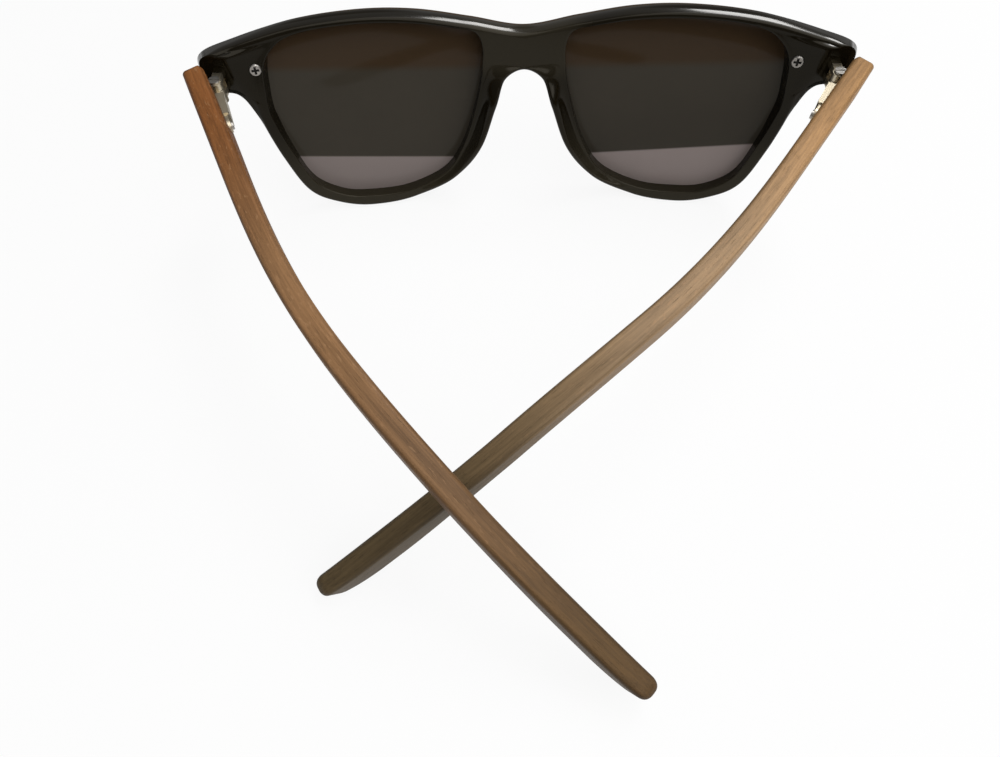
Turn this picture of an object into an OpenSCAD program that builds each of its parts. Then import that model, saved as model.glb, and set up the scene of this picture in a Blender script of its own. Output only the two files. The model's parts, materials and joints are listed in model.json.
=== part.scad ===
// Sunglasses with wooden temples, lying half folded with the left temple over the right one.
// A one-piece tinted lens is screwed to a black moulded front, and each temple hangs on a spring hinge.
// The front looks along -Y, the temples point to +Y, and +X is the wearer's left. Millimetres.

/* [Front] */
// Half the width of the front, from the middle to the outer end
front_half_w = 70.8; // [64:0.2:78]
// Radius of the front's wrap, seen from above
wrap_r = 250; // [180:5:400]
// Lean of the front: its lower edge stands closer to the face
front_lean = 9.9; // [4:0.1:14]
// Depth of the moulded front behind the lens
front_t = 3.2; // [2.6:0.1:4.2]
// Rounding of the front's rear edges
edge_r = 0.8; // [0.4:0.1:1]
// Height of the brow above the hinge line, at the middle
brow_mid = 5.6; // [4:0.1:8]
// Height of the brow above the hinge line, over each eye
brow_peak = 10.5; // [9:0.1:13]
// Depth of the rims below the hinge line
rim_low = 37.5; // [33:0.5:42]
// Width of the rim round each eye
rim_w = 3.7; // [3:0.1:4.4]
// Height of the brow bar above each eye
brow_bar = 2; // [1.6:0.1:2.8]
// Half the width of the nose gap at its top
nose_half_w = 4.2; // [3.4:0.1:5.4]
// Depth of the nose gap's top below the hinge line
nose_top = 3.3; // [2.6:0.1:4]
// How far the nose flanges stand out behind the rims
nose_flange = 3.4; // [1:0.2:5]

/* [Lens] */
// Thickness of the one-piece lens
lens_t = 1.8; // [1.4:0.1:2.4]
// How far the lens edge stays inside the front's outline
lens_inset = 0.5; // [0.2:0.1:1]
// Distance of each lens screw outside the eye opening
screw_land = 2.4; // [2:0.1:3]
// Height of the lens screws above the hinge line
lens_screw_h = 1.4; // [0.5:0.1:2.4]
// Radius of the lens screw's head
lens_head_r = 1.35; // [1.1:0.05:1.6]
// Radius of the lens screw's shank
lens_shank_r = 0.6; // [0.5:0.05:0.8]

/* [Hinges] */
// Distance of each hinge axis from the front's outer end
hinge_from_end = 4.4; // [3.6:0.1:5.2]
// Height of the hinges' middle above the hinge line
hinge_z = 0.9; // [0.5:0.1:1.4]
// Distance of the hinge axes behind the front's end faces
hinge_set = 2.9; // [2.5:0.1:3.2]
// Radius of the hinge barrels
barrel_r = 1.5; // [1.3:0.1:1.7]
// Height of the middle barrel
eye_h = 1.6; // [1.4:0.1:1.9]
// Height of each outer barrel
ear_h = 1.5; // [1.2:0.1:1.7]
// Radius of the hinge screw
pin_r = 0.5; // [0.4:0.05:0.6]
// Length of the spring case along the temple, without its tail
case_l = 6.9; // [6.5:0.1:9]
// Length of the case's flat tail with its screw
tail_l = 3.2; // [3:0.1:4.5]
// Height of the spring case
case_h = 3.8; // [3.4:0.1:4.4]
// Radius of the slide rod
rod_r = 0.45; // [0.35:0.05:0.5]
// Diameter of the spring wire
wire_d = 0.3; // [0.25:0.05:0.35]
// Number of turns of the hinge spring
spring_turns = 4; // [3:1:4]

/* [Temples] */
// Length of a temple from its hinge axis to its tip, along its curve
temple_len = 152.3; // [140:0.1:160]
// Thickness of the wood
temple_t = 4.45; // [4:0.05:5.2]
// Height of the wood at the hinge
temple_root_h = 9.8; // [9:0.2:11]
// Height of the wood along its middle
temple_h = 5.7; // [5:0.1:6]
// Height that the wood gains below, towards its tip
paddle = 1.8; // [1.4:0.1:2.2]
// Turn of the temple towards the head, from hinge to tip
bow = 26.2; // [20:0.2:28]
// Downward bend of the temple behind the ear
drop = 28.2; // [22:0.2:30]
// Lean of the wood's section, top edge away from the head
wood_lean = 5.7; // [0:0.1:8]
// Fold of the left temple from straight back
fold_left = 25; // [20:0.5:26]
// Fold of the right temple from straight back
fold_right = 35.4; // [34:0.1:40]
// Tilt of the left temple on its hinge, tip down
tilt_left = -0.25; // [-1:0.05:0]
// Tilt of the right temple on its hinge, tip down
tilt_right = 1.2; // [1.1:0.05:2.2]

/* [Hidden] */
$fn = 48;

LEFT = 1;
RIGHT = -1;
black_plastic = "#141414";
tinted = "#3a3733";
pale_metal = "#cfc6ac";
walnut = "#8a5a36";

// Clearances: a running fit round a pin, a seat inside one body, and free room between moving pieces
run_gap = 0.05;
seat_gap = 0.04;
free_gap = 0.35;
// How far a cutting shape goes past what it cuts, and the reach of a large one
overshoot = 4;
reach = 0.6 * front_half_w;

// Curves and small helpers
function clamp01(x) = min(1, max(0, x));
function smooth(x) = clamp01(x) * clamp01(x) * (3 - 2 * clamp01(x));
function mixed(a, b, x) = a + (b - a) * x;
function catmull(a, b, c, d, t) =
    0.5 * (2 * b + (c - a) * t + (2 * a - 5 * b + 4 * c - d) * t * t + (3 * b - a - 3 * c + d) * t * t * t);
function flip(p) = [-p[0], p[1]];
function unit(v) = v / norm(v);
function left_of(v) = [-v[1], v[0]];

// Rim stations for one eye: [outline point, eye-opening point, stand-out behind the rim].
// They run from the middle of the brow, out over the eye, round the end piece and down to the nose gap.
// Places across are shares of the half width, and places down are shares of the rims' depth.
end_stand = 1.6;
eye_top = brow_peak - brow_bar;
eye_low = rim_w - rim_low;
eye_outer = across(0.8023);
function across(share) = share * front_half_w;
function down(share) = -share * rim_low;
stations = [
    [[0, brow_mid], [nose_half_w + 7.2, brow_mid + 0.2], 0],
    [[across(0.1695), brow_mid + 2.1], [nose_half_w + 10.4, brow_mid + 0.9], 0],
    [[across(0.339), brow_peak - 0.7], [across(0.339), eye_top - 0.5], 0],
    [[across(0.5085), brow_peak], [across(0.4943), eye_top + 0.2], 0],
    [[across(0.7062), brow_peak - 0.8], [across(0.6497), eye_top - 0.2], 0],
    [[across(0.8842), brow_peak - 3.2], [across(0.7345), eye_top - 1.5], 0.2 * end_stand],
    [[across(0.9831), brow_mid - 0.4], [across(0.7797), eye_top - 4], end_stand],
    [[front_half_w, brow_mid - 4.2], [eye_outer, eye_top - 8.2], end_stand],
    [[across(0.9859), down(0.0853)], [across(0.8107), down(0.112)], end_stand],
    [[across(0.9237), down(0.104)], [across(0.8121), down(0.2027)], 0.4 * end_stand],
    [[across(0.8715), down(0.2453)], [across(0.8715) - rim_w, down(0.288)], 0],
    [[across(0.8263), down(0.5547)], [across(0.8291) - rim_w, down(0.512)], 0],
    [[across(0.7684), down(0.8213)], [across(0.7203), down(0.752)], 0],
    [[across(0.678), down(0.944)], [across(0.6497), eye_low + 1.3], 0],
    [[across(0.5579), -rim_low], [across(0.5537), eye_low], 0],
    [[across(0.3955), down(0.9627)], [across(0.4237), eye_low + 0.9], 0],
    [[across(0.2401), down(0.7947)], [across(0.2994), down(0.7733)], 0.5 * nose_flange],
    [[nose_half_w + 6.2, down(0.56)], [nose_half_w + 11.6, down(0.5867)], nose_flange],
    [[nose_half_w + 2.4, down(0.2987)], [nose_half_w + 8.2, down(0.3413)], 0.8 * nose_flange],
    [[nose_half_w, down(0.136)], [nose_half_w + 6, down(0.1227)], 0.25 * nose_flange],
    [[0, -nose_top], [nose_half_w + 5.2, down(0.032)], 0]
];
bridge_openings = [
    [nose_half_w + 5, mixed(-nose_top, brow_mid, 0.46)],
    [nose_half_w + 5.2, mixed(-nose_top, brow_mid, 0.685)],
    [nose_half_w + 5.8, mixed(-nose_top, brow_mid, 0.888)]
];
station_last = len(stations) - 1;
// Steps of the rim's loft between two stations
rim_steps = 4;
rim_end = rim_steps * station_last;

// The outline runs through the stations, and its mirror image carries it on at both ends
function station_out(i) =
    i < 0 ? flip(stations[-i][0])
    : i > station_last ? flip(stations[2 * station_last - i][0])
    : stations[i][0];
function station_stand(i) = stations[min(station_last, max(0, i))][2];
openings = concat([for (s = stations) s[1]], bridge_openings);
opening_count = len(openings);
function opening(i) = openings[(i + opening_count) % opening_count];

function out_at(t) = let (i = floor(t))
    catmull(station_out(i - 1), station_out(i), station_out(i + 1), station_out(i + 2), t - i);
function stand_at(t) = let (i = floor(t))
    mixed(station_stand(i), station_stand(i + 1), smooth(t - i));
function opening_at(t) = let (i = floor(t))
    catmull(opening(i - 1), opening(i), opening(i + 1), opening(i + 2), t - i);
tangent_step = 0.02;
function out_normal(t) = left_of(unit(out_at(t + tangent_step) - out_at(t - tangent_step)));
function opening_normal(t) = left_of(unit(opening_at(t + tangent_step) - opening_at(t - tangent_step)));

// From the flat front to the wrapped and leaning one: u across, h up, w behind the rear face
function wrap_turn(u) = u * 180 / (PI * wrap_r);
function wrapped(p, w) = let (a = wrap_turn(p[0]), r = wrap_r - w)
    [r * sin(a), wrap_r - r * cos(a), p[1]];
function leaned(q) = [
    q[0], q[1] * cos(front_lean) - q[2] * sin(front_lean), q[1] * sin(front_lean) + q[2] * cos(front_lean)
];
function front_point(p, w) = leaned(wrapped(p, w));

// Places of the lens screws and of the hinge axes, which follow the front's size and wrap
lens_screw_u = eye_outer + screw_land;
hinge_x = front_half_w - hinge_from_end;
hinge_y = front_point([hinge_x, hinge_z], 0)[1] + hinge_set;

// Where the temple bends and thins, measured along it from the hinge axis
function on_temple_at(share) = share * temple_len;
bow_from = on_temple_at(0.144);
bow_to = on_temple_at(0.892);
drop_from = on_temple_at(0.505);
drop_to = on_temple_at(0.702);
root_start = -3;
root_end = on_temple_at(0.262);
paddle_from = on_temple_at(0.738);
paddle_to = on_temple_at(0.9);
wood_face = 0.7;
root_top = 5.3;
arm_top = 3.7;
// Length of the nose, and the shares of the height and of the thickness that are left at its end
nose_l = 11;
nose_h_left = 0.55;
nose_t_left = 0.85;
// Rounding of the very tip, and the share of the section that is left there
tip_round = 2.2;
tip_left = 0.56;
temple_steps = 40;
nose_steps = 5;
tip_steps = 5;
tip_turn = 86;
wood_corner = 1.2;
corner_fit = 0.9;
corner_turns = [0, 45, 90];
wood_sides = 4 * len(corner_turns);

// Open pose of both temples, which sets the slant of the wood's end face
open_fold = -4.6;
open_gap = 0.25;

// Spring hinge, along the temple: the slide rod lies in the case, sunk into the wood's inner face
rod_x = 1;
bore_r = 1;
case_wall = 0.4;
case_back = 0.55;
case_gap = 1.7;
case_from = barrel_r + case_gap;
case_to = case_from + case_l;
tail_to = case_to + tail_l;
case_in = rod_x - bore_r - case_wall;
case_out = rod_x + bore_r + case_back;
case_flare = 0.5;
case_taper = 0.2;
tail_slope = 0.5;
tail_screw_y = case_to + (tail_l + tail_slope) / 2;
tail_proud = 0.55;
tail_sink = 0.9;
tail_in = wood_face - tail_proud;
tail_out = wood_face + tail_sink;
tail_r = case_h / 2 - 0.4;
end_wall = 0.5;
bore_end = case_to - end_wall;
stop_set = 0.8;
stop_from = case_from + stop_set;
stop_t = 0.6;
nut_t = 0.8;
nut_side_gap = 0.15;
nut_end_gap = 0.2;
nut_r = bore_r - nut_side_gap;
nut_from = bore_end - nut_t - nut_end_gap;
coil_end_gap = 0.1;
coil_side_gap = 0.12;
spring_from = stop_from + stop_t + coil_end_gap;
spring_to = nut_from - coil_end_gap;
spring_mean_r = bore_r - coil_side_gap - wire_d / 2;
case_screw_r = 0.45;
case_head_r = 0.9;
case_head_h = 0.45;
case_screw_l = 3;
head_at = tail_in - seat_gap / 2;
pin_head_r = barrel_r - 0.3;
pin_head_h = 0.5;
slot_w = 0.3;
slot_d = 0.2;
ear_gap = 0.12;
ear_from = eye_h / 2 + ear_gap;
hinge_top = ear_from + ear_h;
leaf_sink = 2;
leaf_half_w = 1;
web_sink = 0.5;
neck_half_h = 0.9;
neck_in = 1.3;
neck_w = 1.9;
neck_from = 0.4;

// Temple centre line in its own frame: hinge axis at the origin, +Y along the temple, +X away from the head
function ramp(s, from, to) = clamp01((s - from) / (to - from));
function bow_at(s) = bow * smooth(ramp(s, bow_from, bow_to));
function drop_at(s) = drop * ramp(s, drop_from, drop_to);
function along(s) = let (b = bow_at(s), g = drop_at(s))
    [-sin(b) * cos(g), cos(b) * cos(g), -sin(g)];
function outward(s) = [cos(bow_at(s)), sin(bow_at(s)), 0];
function upward(s) = cross(outward(s), along(s));
function root_share(s) = smooth(ramp(s, root_start, root_end));
function wood_top(s) = mixed(root_top, arm_top, root_share(s));
function end_scale(s, length) = let (x = ramp(s, temple_len - length, temple_len)) sqrt(1 - x * x);
function paddle_h(s) = paddle * smooth(ramp(s, paddle_from, paddle_to));
function wood_h(s) = (mixed(temple_root_h, temple_h, root_share(s)) + paddle_h(s))
    * mixed(nose_h_left, 1, end_scale(s, nose_l));
function wood_t(s) = temple_t * mixed(nose_t_left, 1, end_scale(s, nose_l));
nose_at = temple_len - nose_l;
tip_at = temple_len - tip_round;
wood_at = concat(
    [for (i = [0:temple_steps]) mixed(root_start, nose_at, i / temple_steps)],
    [for (i = [1:nose_steps]) mixed(nose_at, tip_at, i / nose_steps)],
    [for (i = [1:tip_steps]) tip_at + tip_round * sin(tip_turn * i / tip_steps)]
);
wood_count = len(wood_at);
function step_on(i) = (wood_at[i + 1] - wood_at[i]) * along((wood_at[i] + wood_at[i + 1]) / 2);
spine = [for (i = 0, p = root_start * along(0); i < wood_count;
    p = i < wood_count - 1 ? p + step_on(i) : p, i = i + 1) p];
function wood_centre(i) = let (s = wood_at[i])
    spine[i] + outward(s) * (wood_face + wood_t(s) / 2) + upward(s) * (wood_top(s) - wood_h(s) / 2);

// Section of the wood: a rounded bar that leans, with its top edge away from the head
function wood_section(i) = let (
    s = wood_at[i],
    k = mixed(tip_left, 1, end_scale(s, tip_round)),
    half_t = wood_t(s) / 2 * k,
    half_h = wood_h(s) / 2 * k,
    r = min(wood_corner, corner_fit * half_h, corner_fit * half_t),
    c = cos(wood_lean),
    n = sin(wood_lean),
    side_way = outward(s) * c - upward(s) * n,
    up_way = upward(s) * c + outward(s) * n
) [for (q = [0:3]) for (turn = corner_turns) let (a = 90 * q + turn)
    wood_centre(i)
    + side_way * ((q == 0 || q == 3 ? 1 : -1) * (half_t - r) + r * cos(a))
    + up_way * ((q < 2 ? 1 : -1) * (half_h - r) + r * sin(a))];

// How the pair lies: it leans back until the lower tip meets the table
function turned(p, side) = let (
    tilt = side == LEFT ? tilt_left : tilt_right,
    fold = side == LEFT ? fold_left : fold_right,
    y = p[1] * cos(tilt) + p[2] * sin(tilt),
    z = p[2] * cos(tilt) - p[1] * sin(tilt)
) [
    side * (hinge_x + p[0] * cos(fold) - y * sin(fold)),
    hinge_y + p[0] * sin(fold) + y * cos(fold),
    hinge_z + z
];
tip_rings = 20;
tip_points = [for (i = [wood_count - tip_rings:wood_count - 1]) for (p = wood_section(i)) p];
rim_points = [for (k = [rim_end / 2:rim_end]) front_point(out_at(k / rim_steps), -front_t)];
rim_floor = min([for (p = rim_points) p[2]]);
rim_rest = [for (p = rim_points) if (p[2] == rim_floor) p][0];
function lean_for(side) = min([for (p = tip_points)
    let (t = turned(p, side)) atan((t[2] - rim_rest[2]) / (t[1] - rim_rest[1]))]);
rest_lean = min(lean_for(LEFT), lean_for(RIGHT));
function leant(p) = [
    p[0], p[1] * cos(rest_lean) + p[2] * sin(rest_lean), p[2] * cos(rest_lean) - p[1] * sin(rest_lean)
];
lens_front = leant(front_point([0, brow_mid - lens_inset], -front_t - lens_t));
tip_back = max([for (p = tip_points) leant(turned(p, LEFT))[1]]);
mid_y = (lens_front[1] + tip_back) / 2;
floor_z = leant(rim_rest)[2];
echo(rest_lean = rest_lean, mid_y = mid_y, floor_z = floor_z);
echo(hinge_place = [hinge_x, hinge_y, hinge_z]);
echo(hinges = [for (side = [LEFT, RIGHT]) leant([side * hinge_x, hinge_y, hinge_z]) - [0, mid_y, floor_z]]);
echo(hinge_axis = leant([0, 0, 1]));
echo(slides = [for (side = [LEFT, RIGHT]) leant(turned([0, 1, 0], side) - turned([0, 0, 0], side))]);

// Places
module lying() {
    translate([0, -mid_y, -floor_z]) rotate([-rest_lean, 0, 0]) children();
}
module on_front() {
    lying() rotate([front_lean, 0, 0]) children();
}
module on_side(side) {
    lying() mirror([side == LEFT ? 0 : 1, 0, 0]) translate([hinge_x, hinge_y, hinge_z]) children();
}
module on_hinge(side) {
    on_side(side) rotate([0, 0, side == LEFT ? fold_left : fold_right]) children();
}
module tilted(side) {
    rotate([side == LEFT ? -tilt_left : -tilt_right, 0, 0]) children();
}
module on_temple(side) {
    on_hinge(side) tilted(side) children();
}
// The front's rear face at a lens screw: +Y goes out of it
module at_screw(side) {
    translate([0, wrap_r, lens_screw_h]) rotate([0, 0, side * wrap_turn(lens_screw_u)])
        translate([0, -wrap_r, 0]) children();
}
// A round along +Y, from one distance to another
module along_y(r, from, to, x = 0) {
    translate([x, from, 0]) rotate([-90, 0, 0]) cylinder(r = r, h = to - from);
}
module at_screws(r, from, to) {
    for (side = [LEFT, RIGHT]) at_screw(side) along_y(r, from, to);
}

// Front: rings of points round the rim's section, joined along each eye and mirrored
arc_mid = 1 - cos(45);
inner_points = 4;
ring_points = 8;
ring_count = rim_steps * opening_count;
function bridge_h(k) =
    mixed(edge_r - nose_top, brow_mid - edge_r, (k - rim_end) / (ring_count - rim_end));
function ring(k) = let (
    t = k / rim_steps,
    e = opening_at(t),
    ne = opening_normal(t),
    bit = arc_mid * edge_r,
    inner = [[e, -front_t], [e, -edge_r], [e + bit * ne, -bit], [e + edge_r * ne, 0]],
    o = out_at(t),
    no = out_normal(t),
    st = stand_at(t),
    outer = k <= rim_end
        ? [[o - edge_r * no, st], [o - bit * no, st - bit], [o, st - edge_r], [o, -front_t]]
        : [for (w = [0, -bit, -edge_r, -front_t]) [[0, bridge_h(k)], w]]
) concat(inner, outer);
function middle_plane(k, j) = (k == 0 || k >= rim_end) && j >= inner_points;
function ring_index(half, k, j) = let (kk = k % ring_count, jj = j % ring_points)
    (half == 0 || middle_plane(kk, jj) ? 0 : ring_count * ring_points) + kk * ring_points + jj;
half_points = [for (k = [0:ring_count - 1]) for (q = ring(k)) front_point(q[0], q[1])];
frame_points = concat(half_points, [for (p = half_points) [-p[0], p[1], p[2]]]);
function quad(half, k, j) = let (
    a = ring_index(half, k, j),
    b = ring_index(half, k + 1, j),
    c = ring_index(half, k + 1, j + 1),
    d = ring_index(half, k, j + 1)
) half == 0 ? [[a, b, c], [a, c, d]] : [[a, c, b], [a, d, c]];
function in_middle(k, j) = k >= rim_end && j >= inner_points && j < ring_points - 1;
frame_faces = [for (half = [0, 1]) for (k = [0:ring_count - 1]) for (j = [0:ring_points - 1])
    if (!in_middle(k, j)) for (f = quad(half, k, j)) f];

lens_head_sink = 0.4;
lens_head_h = 0.9;
end_face_in = 6;
module leaf_block(gap) {
    translate([-leaf_half_w - gap, -hinge_set - leaf_sink - gap, -hinge_top - gap])
        cube([2 * (leaf_half_w + gap), leaf_sink + 2 * gap, 2 * (hinge_top + gap)]);
}
module end_face_cut() {
    translate([-end_face_in, -hinge_set, -reach / 2]) cube([reach, reach, reach]);
}
module front_frame() {
    color(black_plastic) difference() {
        lying() polyhedron(points = frame_points, faces = frame_faces);
        for (side = [LEFT, RIGHT]) on_side(side) {
            end_face_cut();
            leaf_block(seat_gap);
        }
        on_front() at_screws(lens_shank_r + seat_gap, -front_t - overshoot, overshoot);
        on_front() at_screws(lens_head_r + seat_gap, -lens_head_sink, overshoot);
    }
}

// Lens: a slice of a round shell, cut a little inside the front's outline
lens_points = [for (k = [0:rim_end])
    let (t = k / rim_steps, p = out_at(t) - lens_inset * out_normal(t))
    [wrap_r * sin(wrap_turn(p[0])), p[1]]];
lens_outline = concat(lens_points, [for (k = [rim_end - 1:-1:1]) flip(lens_points[k])]);
lens_r = wrap_r + front_t + seat_gap;
lens_reach = 2 * rim_low;
lens_face = -front_t - seat_gap - lens_t;
module lens_shell() {
    translate([0, wrap_r, -lens_reach]) difference() {
        cylinder(r = lens_r + lens_t, h = 2 * lens_reach);
        translate([0, 0, -overshoot]) cylinder(r = lens_r, h = 2 * (lens_reach + overshoot));
    }
}
module shield_lens() {
    color(tinted) on_front() difference() {
        intersection() {
            lens_shell();
            translate([0, lens_reach, 0]) rotate([90, 0, 0])
                linear_extrude(height = 2 * lens_reach) polygon(lens_outline);
        }
        at_screws(lens_shank_r + seat_gap, lens_face - overshoot, 0);
    }
}
washer_t = 0.3;
washer_out = 0.2;
nut_h = 1.2;
screw_end = lens_face - washer_t - nut_h / 2;
recess_l = 1.7;
recess_w = 0.5;
recess_d = 0.5;
module screw_recess() {
    for (turn = [0, 90]) rotate([0, turn, 0]) cube([recess_l, 2 * recess_d, recess_w], center = true);
}
module lens_screws() {
    head_top = lens_head_h - lens_head_sink;
    color(pale_metal) on_front() difference() {
        union() {
            at_screws(lens_shank_r, screw_end, 0);
            at_screws(lens_head_r, -lens_head_sink, head_top);
        }
        for (side = [LEFT, RIGHT]) at_screw(side) translate([0, head_top, 0]) screw_recess();
    }
}
module lens_washers() {
    face = lens_face - seat_gap / 2;
    color("dimgray") on_front() difference() {
        at_screws(lens_head_r + washer_out, face - washer_t, face);
        at_screws(lens_shank_r + seat_gap, face - overshoot, face + overshoot);
    }
}
// Domed nut: a revolved profile with a blind hole for the screw's end
nut_roof = 0.5;
module nut_profile() {
    hole = nut_h - nut_roof;
    difference() {
        intersection() {
            translate([0, -lens_head_r]) circle(r = lens_head_r + nut_h);
            square([lens_head_r, nut_h]);
        }
        translate([-overshoot, -overshoot]) square([overshoot + lens_shank_r + seat_gap, overshoot + hole]);
    }
}
module lens_nuts() {
    color(pale_metal) on_front() for (side = [LEFT, RIGHT])
        at_screw(side) translate([0, lens_face - washer_t - seat_gap, 0])
            rotate([90, 0, 0]) rotate_extrude() nut_profile();
}

// Hinges: two ears on a leaf sunk in the front's end piece, and a screw through them
module barrel(from, to) {
    translate([0, 0, from]) cylinder(r = barrel_r, h = to - from);
}
module pin_bore() {
    translate([0, 0, -hinge_top - overshoot]) cylinder(r = pin_r + run_gap, h = 2 * (hinge_top + overshoot));
}
module front_hinge(side) {
    color(pale_metal) on_side(side) difference() {
        union() {
            leaf_block(0);
            for (z = [ear_from, -hinge_top]) {
                barrel(z, z + ear_h);
                translate([-leaf_half_w, -hinge_set - web_sink, z])
                    cube([2 * leaf_half_w, hinge_set + web_sink, ear_h]);
            }
        }
        pin_bore();
    }
}
module hinge_screw(side) {
    head_from = hinge_top + seat_gap / 2;
    head_to = head_from + pin_head_h;
    color(pale_metal) on_side(side) difference() {
        union() {
            translate([0, 0, -hinge_top]) cylinder(r = pin_r, h = hinge_top + head_from + pin_head_h / 2);
            translate([0, 0, head_from]) cylinder(r = pin_head_r, h = pin_head_h);
        }
        translate([-barrel_r, -slot_w / 2, head_to - slot_d]) cube([2 * barrel_r, slot_w, overshoot]);
    }
}
// The slider turns on the pin and draws its rod out of the case when the temple is pushed past open
module spring_slider(side) {
    color(pale_metal) on_hinge(side) difference() {
        union() {
            barrel(-eye_h / 2, eye_h / 2);
            tilted(side) {
                translate([rod_x - neck_in, neck_from, -neck_half_h])
                    cube([neck_w, case_from - seat_gap - neck_from, 2 * neck_half_h]);
                along_y(rod_r, case_from - case_gap / 2, nut_from + nut_t, rod_x);
            }
        }
        pin_bore();
    }
}
module rod_nut(side) {
    color(pale_metal) on_temple(side) difference() {
        along_y(nut_r, nut_from, nut_from + nut_t, rod_x);
        along_y(rod_r + seat_gap / 2, nut_from - overshoot, nut_from + overshoot, rod_x);
    }
}
module spring_stop(side) {
    color(pale_metal) on_temple(side) difference() {
        along_y(bore_r - seat_gap / 2, stop_from, stop_from + stop_t, rod_x);
        along_y(rod_r + run_gap, stop_from - overshoot, stop_from + overshoot, rod_x);
    }
}

// Spring: one unbroken helical tube round the rod
rings_per_turn = 8;
wire_sides = 6;
spring_rings = rings_per_turn * spring_turns;
spring_pitch = (spring_to - spring_from - wire_d) / spring_turns;
echo(spring_self_gap = spring_pitch - wire_d);
function coil_point(i, j) = let (
    a = 360 * i / rings_per_turn,
    b = 360 * j / wire_sides,
    r = spring_mean_r + wire_d / 2 * cos(b),
    y = spring_from + wire_d / 2 + spring_pitch * i / rings_per_turn
) [rod_x + r * cos(a), y + wire_d / 2 * sin(b), r * sin(a)];
coil_points = [for (i = [0:spring_rings]) for (j = [0:wire_sides - 1]) coil_point(i, j)];
function coil_index(i, j) = i * wire_sides + j % wire_sides;
coil_sides = [for (i = [0:spring_rings - 1]) for (j = [0:wire_sides - 1]) for (f = [
    [coil_index(i, j), coil_index(i + 1, j + 1), coil_index(i, j + 1)],
    [coil_index(i, j), coil_index(i + 1, j), coil_index(i + 1, j + 1)]]) f];
coil_ends = [for (j = [1:wire_sides - 2]) for (f = [
    [coil_index(0, 0), coil_index(0, j), coil_index(0, j + 1)],
    [coil_index(spring_rings, 0), coil_index(spring_rings, j + 1), coil_index(spring_rings, j)]]) f];
module spring(side) {
    color("silver") on_temple(side) polyhedron(points = coil_points, faces = concat(coil_sides, coil_ends));
}

// Case: a thin-walled sleeve that thins into a flat tail, seen from above and from the side
module case_plan(gap) {
    polygon([
        [case_in - case_flare - gap, case_from], [case_out + gap, case_from],
        [case_out + gap, case_to + gap], [tail_out + gap, case_to + gap],
        [tail_out + gap, tail_to + gap], [tail_in - gap, tail_to + gap],
        [tail_in - gap, case_to + tail_slope], [case_in - gap, case_to - case_taper]
    ]);
}
module case_side(gap) {
    translate([case_from, -case_h / 2 - gap]) square([case_l, case_h + 2 * gap]);
    translate([case_from, -tail_r - gap]) square([case_l + tail_l - tail_r, 2 * (tail_r + gap)]);
    translate([tail_to - tail_r, 0]) circle(r = tail_r + gap);
}
module case_block(gap) {
    intersection() {
        translate([0, 0, -case_h]) linear_extrude(height = 2 * case_h) case_plan(gap);
        translate([-tail_to, 0, 0]) rotate([90, 0, 90]) linear_extrude(height = 2 * tail_to) case_side(gap);
    }
}
module across_tail(r, from, to) {
    translate([from, tail_screw_y, 0]) rotate([0, 90, 0]) cylinder(r = r, h = to - from);
}
module spring_case(side) {
    color(pale_metal) on_temple(side) difference() {
        case_block(0);
        along_y(bore_r, case_from - overshoot, bore_end, rod_x);
        across_tail(case_screw_r + seat_gap, tail_in - overshoot, tail_out + overshoot);
    }
}
module case_screw(side) {
    color(pale_metal) on_temple(side) difference() {
        union() {
            across_tail(case_screw_r, head_at - case_head_h / 2, wood_face + case_screw_l);
            across_tail(case_head_r, head_at - case_head_h, head_at);
        }
        translate([head_at - case_head_h, tail_screw_y, 0])
            cube([2 * slot_d, slot_w, 2 * (case_head_r + overshoot)], center = true);
    }
}

// Temple: the leaning bar swept along the bowed and dropped spine, with room for the hinge
wood_points = [for (i = [0:wood_count - 1]) for (p = wood_section(i)) p];
function wood_index(i, j) = i * wood_sides + j % wood_sides;
wood_skin = [for (i = [0:wood_count - 2]) for (j = [0:wood_sides - 1]) for (f = [
    [wood_index(i, j), wood_index(i + 1, j + 1), wood_index(i + 1, j)],
    [wood_index(i, j), wood_index(i, j + 1), wood_index(i + 1, j + 1)]]) f];
wood_ends = [for (j = [1:wood_sides - 2]) for (f = [
    [wood_index(0, 0), wood_index(0, j + 1), wood_index(0, j)],
    [wood_index(wood_count - 1, 0), wood_index(wood_count - 1, j), wood_index(wood_count - 1, j + 1)]]) f];
inner_relief = 1.4;
relief_turn = 135;
butt_y = open_gap - hinge_set;
notch_r = barrel_r + free_gap;
notch_h = hinge_top + pin_head_h + free_gap;
pocket_h = case_h + 2 * seat_gap;
module butt_cut() {
    rotate([0, 0, -open_fold]) translate([-reach, butt_y - reach, -reach]) cube([2 * reach, reach, 2 * reach]);
    translate([wood_face + inner_relief, butt_y, -reach]) rotate([0, 0, relief_turn])
        cube([reach, reach, 2 * reach]);
}
module hinge_notch() {
    translate([0, 0, -notch_h]) cylinder(r = notch_r, h = 2 * notch_h);
    translate([-overshoot, -overshoot, -notch_h]) cube([overshoot + notch_r, overshoot, 2 * notch_h]);
}
module case_pocket() {
    case_block(seat_gap);
    translate([-overshoot, 0, -pocket_h / 2])
        cube([overshoot + case_out + seat_gap, case_from + seat_gap, pocket_h]);
    across_tail(case_screw_r + seat_gap, 0, wood_face + case_screw_l + seat_gap);
}
module temple(side) {
    color(walnut) on_hinge(side) difference() {
        tilted(side) polyhedron(points = wood_points, faces = concat(wood_skin, wood_ends));
        butt_cut();
        hinge_notch();
        tilted(side) case_pocket();
    }
}

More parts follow.
